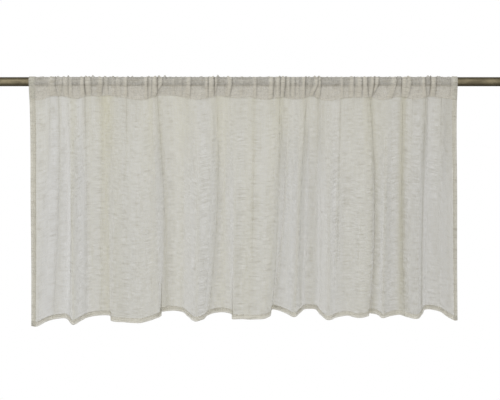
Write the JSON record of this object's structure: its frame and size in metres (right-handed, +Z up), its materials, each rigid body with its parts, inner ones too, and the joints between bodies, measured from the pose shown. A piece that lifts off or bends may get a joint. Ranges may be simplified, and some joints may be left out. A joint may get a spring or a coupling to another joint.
{
  "type": "cafe curtain on rod",
  "caption": "Sheer linen-look cafe curtain gathered on a slim round metal rod through its rod pocket, with hemmed sides and lower edge.",
  "frame": {"origin": "centre of the rod's left end face, as seen from the room", "axes": "+X along the rod to the right, +Y from the room towards the window, +Z up"},
  "size_m": [1.29, 0.0984, 0.619],
  "materials": {
    "linen": "sheer open plain weave with uneven slub yarns, matt",
    "aged_brass": "dark aged brass, satin"
  },
  "bodies": {
    "root": {"curtain": "linen", "rod": "aged_brass"}
  },
  "joints": []
}
